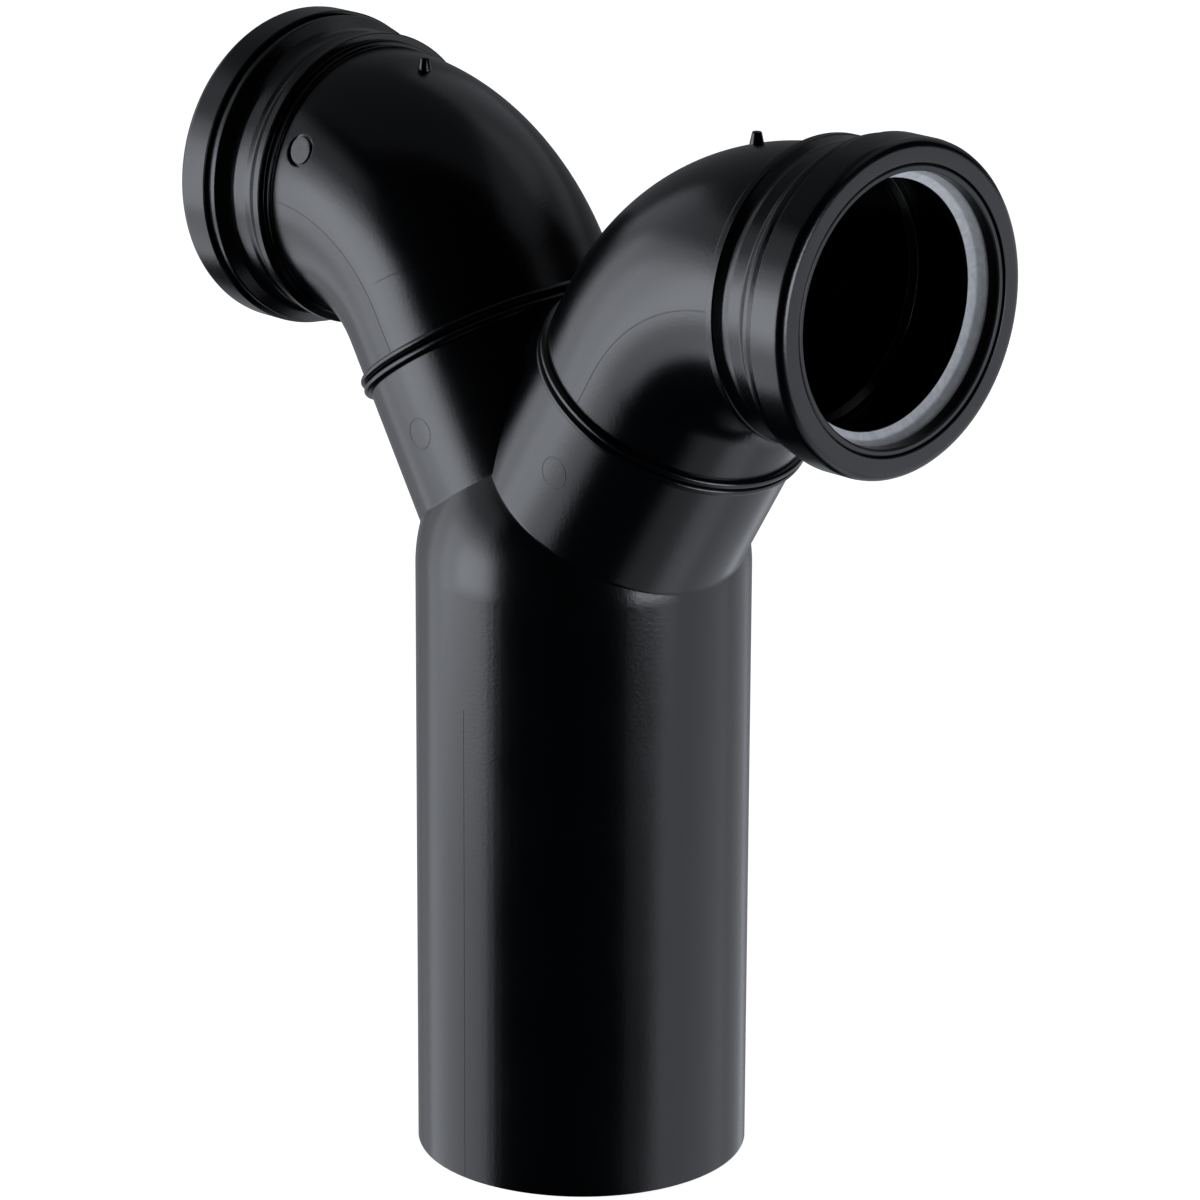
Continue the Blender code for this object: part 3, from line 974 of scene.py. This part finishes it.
@dataclass
class GatePad:
    """Round gate pad in a groove on the side of the bend, facing +Y on the right arm.

    Its face leans less than the pipe's side, so it stands proud above and lies sunk below.
    """

    pipe_radius: float = LINE.arm_radius
    setback: float = 12.0 * MM
    tilt: float = math.radians(23.2)
    lean: float = math.radians(16.5)
    radius: float = 4.5 * MM
    sink: float = 0.2 * MM
    groove_width: float = 1.0 * MM
    groove_depth: float = 0.8 * MM
    patch: float = 8.0 * MM
    edge: float = 0.15 * MM
    face_rings: tuple[float, ...] = (0.66, 0.33)
    blend_shares: tuple[float, ...] = (0.3, 0.6, 0.85)
    search: float = 6.0 * MM
    search_steps: int = 28

    def middle(self) -> np.ndarray:
        """Middle of the pad's face.

        Returns:
            The point.
        """
        across = LINE.lead - self.setback
        rise = LINE.bend_radius + self.pipe_radius * math.sin(self.tilt)
        off_line = math.hypot(across, rise) - LINE.bend_radius
        reach = math.sqrt(self.pipe_radius ** 2 - off_line ** 2)
        centre_x, centre_z = LINE.bend_centre
        return np.array((centre_x + across, reach - self.sink, centre_z + rise))

    def axes(self) -> tuple[np.ndarray, np.ndarray, np.ndarray]:
        """Sideways, upward and outward directions of the pad's face."""
        cos, sin = math.cos(self.lean), math.sin(self.lean)
        return np.array((-1.0, 0.0, 0.0)), np.array((0.0, -sin, cos)), np.array((0.0, cos, sin))

    def surface_levels(self, feet: np.ndarray, outward: np.ndarray) -> np.ndarray:
        """Levels of the pipe's surface over points of the face's plane.

        Args:
            feet: Rows of points in the plane.
            outward: Direction in which the levels are measured.

        Returns:
            The levels, below zero where the surface lies behind the plane.
        """
        low, high = np.full(len(feet), -self.search), np.full(len(feet), self.search)
        for _ in range(self.search_steps):
            middle = (low + high) / 2
            points = feet + outward * middle[:, None]
            off_line = np.hypot(*(points[:, ::2] - LINE.bend_centre).T) - LINE.bend_radius
            inside = np.hypot(off_line, points[:, 1]) < self.pipe_radius
            low, high = np.where(inside, middle, low), np.where(inside, high, middle)
        return (low + high) / 2

    def rings(self, turns: np.ndarray) -> list[np.ndarray]:
        """Rings of points from the groove's edge on the surface to the middle of the face.

        Args:
            turns: Angle of each point round the pad.

        Returns:
            The rings from the outside inwards.
        """
        middle = self.middle()
        sideways, upward, outward = self.axes()
        spokes = sideways * np.cos(turns)[:, None] + upward * np.sin(turns)[:, None]
        outer, bevel = self.radius + self.groove_width, self.edge * BEVEL_SHARE
        edge_level, outer_level, inner_level = (
            self.surface_levels(middle + spokes * reach, outward)
            for reach in (outer + self.edge, outer, self.radius))
        outer_floor = np.minimum(-self.groove_depth, outer_level)
        inner_floor = np.minimum(-self.groove_depth, inner_level)
        drop = np.minimum(self.edge, outer_level - outer_floor)
        flat = np.zeros(len(turns))
        places = (
            (outer + self.edge, edge_level),
            (outer, outer_level - drop * BEVEL_SHARE),
            (outer - bevel, outer_level - drop),
            (outer - self.edge, outer_floor),
            (self.radius + self.edge, inner_floor),
            (self.radius, np.maximum(-self.edge, inner_floor)),
            (self.radius - bevel, np.maximum(-bevel, inner_floor)),
            (self.radius - self.edge, flat),
            *((self.radius * share, flat) for share in self.face_rings),
        )
        return [middle + spokes * reach + outward * levels[:, None] for reach, levels in places]

    def on_surface(self, points: np.ndarray) -> np.ndarray:
        """Bring points onto the pipe's surface.

        Args:
            points: Rows of points near it.

        Returns:
            The points moved.
        """
        away = points[:, ::2] - LINE.bend_centre
        away *= LINE.bend_radius / np.linalg.norm(away, axis=1)[:, None]
        feet = np.insert(LINE.bend_centre + away, 1, 0.0, axis=1)
        rays = points - feet
        return feet + rays * (self.pipe_radius / np.linalg.norm(rays, axis=1)[:, None])

    def sewn(self, grid: np.ndarray, profile: np.ndarray) -> Shell:
        """Join the bend's grid into a skin whose patch round the pad is made of rings.

        Args:
            grid: Points as (profile point, angle, xyz).
            profile: Rows of (along, across).

        Returns:
            A closed skin.
        """
        shell = grid_shell(grid, closed=True)
        columns = grid.shape[1]
        middle = self.middle()
        sideways, upward, _ = self.axes()
        ahead, rise = middle[0] - LINE.bend_centre[0], middle[2] - LINE.bend_centre[1]
        off_line = math.hypot(ahead, rise) - LINE.bend_radius
        pad_angle = math.atan2(middle[1], off_line)
        pad_along = LINE.bend_end - math.atan2(-ahead, rise) * LINE.bend_radius
        reach_along = self.patch * LINE.bend_radius / (LINE.bend_radius + off_line)
        outside = np.abs(profile[:, 1] - self.pipe_radius) < SAME_RADIUS
        near = np.flatnonzero(outside & (np.abs(profile[:, 0] - pad_along) < reach_along))
        top, bottom = int(near.min()), int(near.max())
        beside = np.flatnonzero(
            np.abs(angles_round(columns) - pad_angle) * self.pipe_radius < self.patch)
        left, right = int(beside.min()), int(beside.max())
        shell.faces = [face for index, face in enumerate(shell.faces)
                       if not (top <= index // columns < bottom
                               and left <= index % columns < right)]
        loop = [top * columns + column for column in range(left, right)]
        loop += [row * columns + right for row in range(top, bottom)]
        loop += [bottom * columns + column for column in range(right, left, -1)]
        loop += [row * columns + left for row in range(bottom, top, -1)]
        loop_points = shell.points[loop]
        spread = loop_points - middle
        rings = self.rings(np.arctan2(spread @ upward, spread @ sideways))
        blend = [self.on_surface(loop_points + (rings[0] - loop_points) * share)
                 for share in self.blend_shares]
        here = np.array(loop)
        points, faces = shell.points, shell.faces
        for ring in blend + rings:
            ahead = len(points) + np.arange(len(ring))
            points = np.concatenate((points, ring))
            faces += ring_faces(here, ahead)
            here = ahead
        points = np.concatenate((points, middle[None, :]))
        faces += [(int(index), int(following), len(points) - 1)
                  for index, following in zip(here, np.roll(here, -1))]
        return Shell(points, faces)


@dataclass
class Elbow:
    """One bend with its weld roll, socket body, peg and gate pad, one moulding."""

    side: Side
    radius: float = LINE.arm_radius
    bore: float = LINE.arm_bore
    collar_length: float = 2.2 * MM
    collar_height: float = 1.4 * MM
    flange_length: float = 2.6 * MM
    flange_height: float = 4.0 * MM
    waist_length: float = 4.6 * MM
    waist_height: float = 2.7 * MM
    body_length: float = 6.2 * MM
    shoulder_length: float = 6.2 * MM
    ridge_step: float = 0.8 * MM
    ridge_slope_length: float = 3.2 * MM
    spigot_length: float = 7.8 * MM
    spigot_wall: float = 2.8 * MM
    pipe_clearance: float = 0.4 * MM
    seat_depth: float = 3.0 * MM
    seat_length: float = 8.8 * MM
    stop_depth: float = 1.4 * MM
    stop_step: float = 2.2 * MM
    peg_setback: float = 27.5 * MM
    peg_height: float = 3.7 * MM
    peg_base: float = 2.3 * MM
    peg_top: float = 1.5 * MM
    peg_root: float = 2.0 * MM
    peg_sides: int = 40
    crossing_start: tuple[float, float] = (24.7 * MM, math.radians(82.6))
    crossing_end: tuple[float, float] = (22.3 * MM, math.radians(61.2))
    crossing_points: int = 12
    parting_points: int = 90
    bend_step: float = 1.3 * MM
    edge: float = 0.35 * MM
    sides: int = 240
    roll: WeldRoll = field(default_factory=WeldRoll)

    @property
    def socket_bore(self) -> float:
        """Radius of the bore that takes the pipe."""
        return self.radius + self.pipe_clearance

    @property
    def seat(self) -> float:
        """Radius of the seal's seat."""
        return self.socket_bore + self.seat_depth

    @property
    def spigot(self) -> float:
        """Outer radius under the snap ring."""
        return self.seat + self.spigot_wall

    @property
    def spigot_start(self) -> float:
        """Distance along the line at which the ring's seat starts."""
        return (LINE.socket_foot + self.flange_length + self.waist_length + self.body_length
                + self.shoulder_length + self.ridge_slope_length)

    @property
    def spigot_end(self) -> float:
        """Distance along the line of the socket's front."""
        return self.spigot_start + self.spigot_length

    def outside(self) -> list[Corner]:
        """Outer corners, from the weld to the socket's front.

        Returns:
            The corners.
        """
        foot, edge = LINE.socket_foot, self.edge
        flange_end = foot + self.flange_length
        waist_end = flange_end + self.waist_length
        body_end = waist_end + self.body_length
        ridge_at = body_end + self.shoulder_length
        flange, waist = self.radius + self.flange_height, self.radius + self.waist_height
        collar, ridge = self.radius + self.collar_height, self.spigot + self.ridge_step
        crest = self.shoulder_length / 8
        corners = self.roll.outside(LINE.weld + self.roll.gap / 2, 1, self.radius)
        return corners + [
            Corner(foot - self.collar_length, self.radius, 0.3 * MM),
            Corner(foot - self.collar_length, collar, edge),
            Corner(foot, collar, 0.3 * MM),
            Corner(foot, flange, edge),
            Corner(flange_end, flange, edge),
            Corner(flange_end + 0.3 * MM, flange - 0.4 * MM, 0.2 * MM),
            Corner(waist_end - 1.0 * MM, waist - 0.4 * MM, 2.5 * MM),
            Corner(waist_end + 1.2 * MM, waist, 2.5 * MM),
            Corner(body_end, waist, 2.0 * MM),
            Corner(body_end + self.shoulder_length / 3, waist + (ridge - waist) / 5, 4.0 * MM),
            Corner(ridge_at - crest, ridge, 1.2 * MM),
            Corner(ridge_at + crest, ridge, 0.6 * MM),
            Corner(self.spigot_start, ridge - (ridge - self.spigot) / 2, 0.2 * MM),
            Corner(self.spigot_start, self.spigot, 0.0),
            Corner(self.spigot_end, self.spigot, edge),
        ]

    def inside(self) -> list[Corner]:
        """Inner corners, from the socket's front back to the weld.

        Returns:
            The corners.
        """
        stop = LINE.socket_foot + self.stop_depth
        step_bore = self.socket_bore - self.stop_step
        seat_start = self.spigot_end - self.seat_length
        corners = [
            Corner(self.spigot_end, self.seat, 0.2 * MM),
            Corner(seat_start, self.seat, 0.3 * MM),
            Corner(seat_start, self.socket_bore, 0.4 * MM),
            Corner(stop, self.socket_bore, 0.3 * MM),
            Corner(stop, step_bore, 0.9 * MM),
            Corner(stop - (step_bore - self.bore), self.bore, 1.5 * MM),
        ]
        return corners + self.roll.inside(LINE.weld + self.roll.gap / 2, 1, self.bore)[::-1]

    def body(self) -> Shell:
        """Skin of the whole bend and socket, with the gate pad sewn in.

        Returns:
            A closed skin.
        """
        front = Corner(self.spigot_end, self.seat)
        outside = rounded(self.outside() + [front], closed=False)[:-1]
        profile = np.concatenate((outside, rounded(self.inside(), closed=False)))
        profile = subdivided(profile, LINE.bend_start, LINE.bend_end, self.bend_step)
        return GatePad().sewn(swept_grid(profile, self.sides), profile)

    def peg(self) -> Shell:
        """Upright tapered peg on top of the bend.

        Returns:
            A closed skin.
        """
        reach = LINE.bend_radius + self.radius
        rise = math.acos((self.peg_setback - LINE.lead) / reach)
        centre_x, centre_z = LINE.bend_centre
        foot = Vector((centre_x - reach * math.cos(rise), 0.0, centre_z + reach * math.sin(rise)))
        corners = [
            Corner(self.peg_height, 0.0),
            Corner(self.peg_height, self.peg_top, 0.5 * MM),
            Corner(0.0, self.peg_base),
            Corner(-self.peg_root, self.peg_base + 0.1 * MM),
            Corner(-self.peg_root, 0.0),
        ]
        place = Matrix.Translation(foot)
        return turned_shell(rounded(corners, closed=False), place, self.peg_sides)

    def moulded_lines(self) -> list[Shell]:
        """Parting lines on both sides of the bend, and the faint line across one of them.

        Returns:
            The skins.
        """
        start, end = LINE.weld + self.roll.width, LINE.socket_foot - self.collar_length
        along = np.linspace(start, end, self.parting_points)
        shells = [BEND_PARTING_LINE.on_arm((place, turn) for place in along)
                  for turn in (-math.pi / 2, math.pi / 2)]
        weld = np.array((LINE.weld, 0.0))
        crossing = np.linspace(weld + self.crossing_start, weld + self.crossing_end,
                               self.crossing_points)
        return shells + [CROSSING_LINE.on_arm(crossing)]

    def build(self) -> list[Shell]:
        """All skins of the moulding, turned to their side."""
        shells = [self.body(), self.peg()] + self.moulded_lines()
        return [shell.turned(self.side.turn) for shell in shells]


@dataclass
class CapRing:
    """Snap-on ring that closes the socket and holds the seal."""

    elbow: Elbow
    fit: float = 0.3 * MM
    wall: float = 1.6 * MM
    face_thickness: float = 5.2 * MM
    rounding: float = 3.1 * MM
    edge: float = 0.4 * MM
    bead: float = 0.4 * MM
    sides: int = 240

    @property
    def mouth(self) -> float:
        """Distance along the line of the ring's front face."""
        return self.elbow.spigot_end + self.fit + self.face_thickness

    def build(self) -> list[Shell]:
        """Skin of the ring.

        Returns:
            One closed skin.
        """
        inner = self.elbow.spigot + self.fit
        outer = inner + self.wall
        bore = self.elbow.socket_bore
        start = self.elbow.spigot_start + self.fit
        bead_at = self.elbow.spigot_start + self.elbow.spigot_length / 2
        corners = [
            Corner(self.mouth, bore, self.edge),
            Corner(self.mouth, outer, self.rounding),
            Corner(start, outer, self.edge),
            Corner(start, inner, 0.2 * MM),
            Corner(bead_at - 2 * self.bead, inner, 0.3 * MM),
            Corner(bead_at, inner + self.bead, 0.3 * MM),
            Corner(bead_at + 2 * self.bead, inner, 0.3 * MM),
            Corner(self.elbow.spigot_end + self.fit, inner, 0.2 * MM),
            Corner(self.elbow.spigot_end + self.fit, bore, 0.2 * MM),
        ]
        return [swept_ring(corners, self.sides, self.elbow.side)]


@dataclass
class LipSeal:
    """Rubber ring in the socket, with a wiper at the mouth and a greased lip."""

    ring: CapRing
    wiper_reach: float = 2.2 * MM
    lip_reach: float = 5.9 * MM
    lip_thickness: float = 2.4 * MM
    lip_slope: float = 1.7 * MM
    lip_setback: float = 8.4 * MM
    grease_setback: float = 4.9 * MM
    grease_depth: float = 1.2 * MM
    margin_at_lip: float = 0.12 * MM
    margin_at_wiper: float = 0.02 * MM
    margin_behind: float = 0.1 * MM
    sides: int = 240

    @property
    def neck(self) -> float:
        """Outer radius of the seal inside the snap ring."""
        return self.ring.elbow.socket_bore - self.ring.fit

    @property
    def wiper(self) -> float:
        """Inner radius of the wiper at the mouth."""
        return self.neck - self.wiper_reach

    @property
    def lip(self) -> float:
        """Inner radius of the lip."""
        return self.neck - self.lip_reach

    def build(self) -> list[Shell]:
        """Skin of the seal.

        Returns:
            One closed skin.
        """
        elbow, fit, edge = self.ring.elbow, self.ring.fit, self.ring.edge
        back = elbow.spigot_end - elbow.seat_length + fit
        outer = elbow.seat - fit
        neck, wiper, lip = self.neck, self.wiper, self.lip
        front = self.ring.mouth - edge
        lip_front = self.ring.mouth - self.lip_setback
        lip_edge = lip_front - self.lip_slope
        lip_back = lip_edge - self.lip_thickness
        grease_front = self.ring.mouth - self.grease_setback
        corners = [
            Corner(front, (neck + wiper) / 2 + 0.5 * MM, 0.4 * MM),
            Corner(front - edge, neck, 0.3 * MM),
            Corner(elbow.spigot_end, neck, 0.2 * MM),
            Corner(elbow.spigot_end, outer, 0.3 * MM),
            Corner(back, outer, 0.3 * MM),
            Corner(back, neck, 0.4 * MM),
            Corner(lip_back + self.lip_thickness / 4, (neck + wiper) / 2, 0.8 * MM),
            Corner(lip_back, lip + edge, 0.4 * MM),
            Corner(lip_edge, lip, 0.5 * MM),
            Corner(lip_front, wiper - self.grease_depth, 1.5 * MM),
            Corner(grease_front, wiper + 0.05 * MM, 0.4 * MM),
            Corner(self.ring.mouth - 4.5 * MM, wiper - 0.25 * MM, 0.3 * MM),
            Corner(front - 0.5 * MM, wiper - 0.1 * MM, 0.5 * MM),
            Corner(front, wiper + 0.5 * MM, 0.4 * MM),
        ]
        return [swept_ring(corners, self.sides, elbow.side)]

    def grease(self, piece: bpy.types.Object, grease: bpy.types.Material) -> None:
        """Give the band between the lip's edge and the wiper the greased finish.

        Args:
            piece: The seal.
            grease: The greased finish.
        """
        piece.data.materials.append(grease)
        front = self.ring.mouth - self.grease_setback + LINE.socket_shift
        edge = self.ring.mouth - self.lip_setback - self.lip_slope + LINE.socket_shift
        height = LINE.bend_centre[1] + LINE.bend_radius
        for face in piece.data.polygons:
            centre = face.center
            across = math.hypot(centre.y, centre.z - height)
            if (self.lip + self.margin_at_lip < across < self.wiper + self.margin_at_wiper
                    and edge - self.margin_behind < abs(centre.x) < front):
                face.material_index = 1


def direction(azimuth: float, elevation: float) -> Vector:
    """Unit vector of an azimuth, from -Y towards +X, and an elevation above the floor."""
    level = math.cos(elevation)
    return Vector((math.sin(azimuth) * level, -math.cos(azimuth) * level, math.sin(elevation)))


@dataclass(frozen=True)
class SoftLight:
    """One large soft lamp, placed by its direction from the camera's side of the fitting.

    Angles are in degrees, and the level is the radiance that its reflection shows.
    """

    name: str
    azimuth: float
    elevation: float
    wide: float
    tall: float
    level: float
    colour: tuple[float, float, float] = (0.90, 0.94, 1.02)
    distance: float = 2.4
    aim_height: float = 0.22

    def build(self, camera_azimuth: float) -> None:
        """Hang the lamp.

        Args:
            camera_azimuth: Azimuth of the camera, from which the lamp's is counted.
        """
        lamp = bpy.data.lights.new(self.name, "AREA")
        lamp.shape = "RECTANGLE"
        lamp.size = 2 * self.distance * math.tan(math.radians(self.wide / 2))
        lamp.size_y = 2 * self.distance * math.tan(math.radians(self.tall / 2))
        lamp.energy = self.level * math.pi * lamp.size * lamp.size_y
        lamp.color = self.colour
        holder = placed(self.name, lamp)
        away = direction(camera_azimuth + math.radians(self.azimuth),
                         math.radians(self.elevation))
        holder.location = Vector((0.0, 0.0, self.aim_height)) + away * self.distance
        holder.rotation_euler = away.to_track_quat("Z", "Y").to_euler()
        holder.visible_camera = False


@dataclass
class Studio:
    """White floor and room, soft lamps and the camera."""

    camera_azimuth: float = math.radians(46.570)
    camera_distance: float = 1.6892
    camera_height: float = 0.7118
    camera_pitch: float = math.radians(17.227)
    camera_yaw: float = math.radians(-0.182)
    camera_roll: float = math.radians(-0.284)
    lens: float = 162.13
    sensor_width: float = 36.0
    clip: tuple[float, float] = (0.05, 30.0)
    floor_reach: float = 6.0
    floor_colour: tuple[float, float, float] = (0.8, 0.8, 0.8)
    floor_roughness: float = 0.9
    floor_glow: float = 0.94
    room_level: float = 0.004
    lights: tuple[SoftLight, ...] = (
        SoftLight("left_wall", -107.0, -1.0, 77.0, 78.0, 0.52, distance=2.6),
        SoftLight("left_screen", -99.0, -9.0, 61.0, 60.0, 1.05),
        SoftLight("left_window", -87.0, -3.0, 50.0, 33.0, 1.25),
        SoftLight("left_sun", -77.5, -3.0, 33.0, 22.0, 1.7),
        SoftLight("right_wall", 104.0, -37.0, 92.0, 73.0, 0.66, distance=2.6),
        SoftLight("right_screen", 82.0, -23.0, 62.0, 34.0, 0.38),
        SoftLight("right_near", 45.0, -20.0, 28.0, 22.0, 0.2),
        SoftLight("right_window", 47.0, -1.5, 26.0, 20.0, 7.2),
        SoftLight("low_front", 52.0, -62.0, 44.0, 32.0, 0.42),
        SoftLight("right_ceiling", 98.0, 55.0, 56.0, 26.0, 0.18),
        SoftLight("right_back", 142.0, 38.0, 52.0, 40.0, 0.20),
        SoftLight("back_low", -178.0, -24.0, 64.0, 34.0, 0.32, distance=2.6),
        SoftLight("back_wall", 180.0, 18.0, 110.0, 52.0, 0.12, distance=2.6),
        SoftLight("ceiling", 180.0, 74.0, 90.0, 60.0, 0.09),
    )

    def camera(self) -> None:
        """Set the camera at the photograph's view."""
        lens = bpy.data.cameras.new("photo_view")
        lens.lens = self.lens
        lens.sensor_width = self.sensor_width
        lens.clip_start, lens.clip_end = self.clip
        camera = placed("photo_view", lens)
        ahead = -direction(self.camera_azimuth + self.camera_yaw, self.camera_pitch)
        right = ahead.cross(Vector((0.0, 0.0, 1.0))).normalized()
        down = ahead.cross(right)
        cos, sin = math.cos(self.camera_roll), math.sin(self.camera_roll)
        image_right = right * cos + down * sin
        image_down = down * cos - right * sin
        place = Matrix((image_right, -image_down, -ahead)).transposed().to_4x4()
        place.translation = (direction(self.camera_azimuth, 0.0) * self.camera_distance
                             + Vector((0.0, 0.0, self.camera_height)))
        camera.matrix_world = place
        bpy.context.scene.camera = camera

    def floor(self) -> None:
        """Lay a plain white floor that keeps the fitting's shadow."""
        mesh = bpy.data.meshes.new("studio_floor")
        corners = [(x * self.floor_reach, y * self.floor_reach, 0.0)
                   for x, y in ((-1, -1), (1, -1), (1, 1), (-1, 1))]
        mesh.from_pydata(corners, [], [(0, 1, 2, 3)])
        floor = placed("studio_floor", mesh)
        material, bench, shader = blank_material("white_floor")
        bench.feed(shader, {
            "Base Color": (*self.floor_colour, 1.0), "Roughness": self.floor_roughness,
            "Specular IOR Level": 0.0})
        plain = shader.outputs["BSDF"]
        glow = bench.place("Emission", {"Strength": self.floor_glow})
        both = bench.place("AddShader", {0: plain, 1: glow.outputs["Emission"]})
        path = bench.place("LightPath", {})
        seen = bench.place("MixShader", {
            "Fac": path.outputs["Is Camera Ray"], 1: plain, 2: both.outputs["Shader"]})
        output = material.node_tree.nodes["Material Output"]
        bench.feed(output, {"Surface": seen.outputs["Shader"]})
        mesh.materials.append(material)
        floor.visible_glossy = False
        floor.visible_shadow = False

    def room(self) -> None:
        """White room for the camera, dim room for the light."""
        world = bpy.data.worlds.new("studio_room")
        world.use_nodes = True
        bench = NodeBench(world.node_tree)
        path = bench.place("LightPath", {})
        level = bench.place("MapRange", {
            "Value": path.outputs["Is Camera Ray"], "To Min": self.room_level, "To Max": 1.0})
        bench.feed(world.node_tree.nodes["Background"], {
            "Color": (1.0, 1.0, 1.0, 1.0), "Strength": level.outputs["Result"]})
        bpy.context.scene.world = world

    def build(self) -> None:
        """Set up the whole studio."""
        self.room()
        self.floor()
        for light in self.lights:
            light.build(self.camera_azimuth)
        self.camera()
        bpy.context.scene.view_settings.view_transform = "Standard"


def main() -> None:
    """Build the fitting piece by piece, then the studio round it."""
    logging.basicConfig(level=logging.INFO, format="%(message)s")
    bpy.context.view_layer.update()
    workshop = Workshop()
    workshop.piece("branch_moulding", YBranch().build(), PIPE_PLASTIC, Slot.PIPE, "y_branch")
    for side in Side:
        elbow = Elbow(side)
        ring = CapRing(elbow)
        seal = LipSeal(ring)
        workshop.piece(f"{side.value}_bend", elbow.build(), PIPE_PLASTIC, Slot.PIPE,
                       f"{side.value}_elbow")
        workshop.piece(f"{side.value}_snap_ring", ring.build(), CAP_PLASTIC, Slot.CAP,
                       f"{side.value}_cap_ring")
        rubber = workshop.piece(f"{side.value}_seal", seal.build(), SEAL_RUBBER, Slot.SEAL,
                                f"{side.value}_lip_seal")
        seal.grease(rubber, workshop.material(SEAL_GREASE))
    Studio().build()


if __name__ == "__main__":
    main()
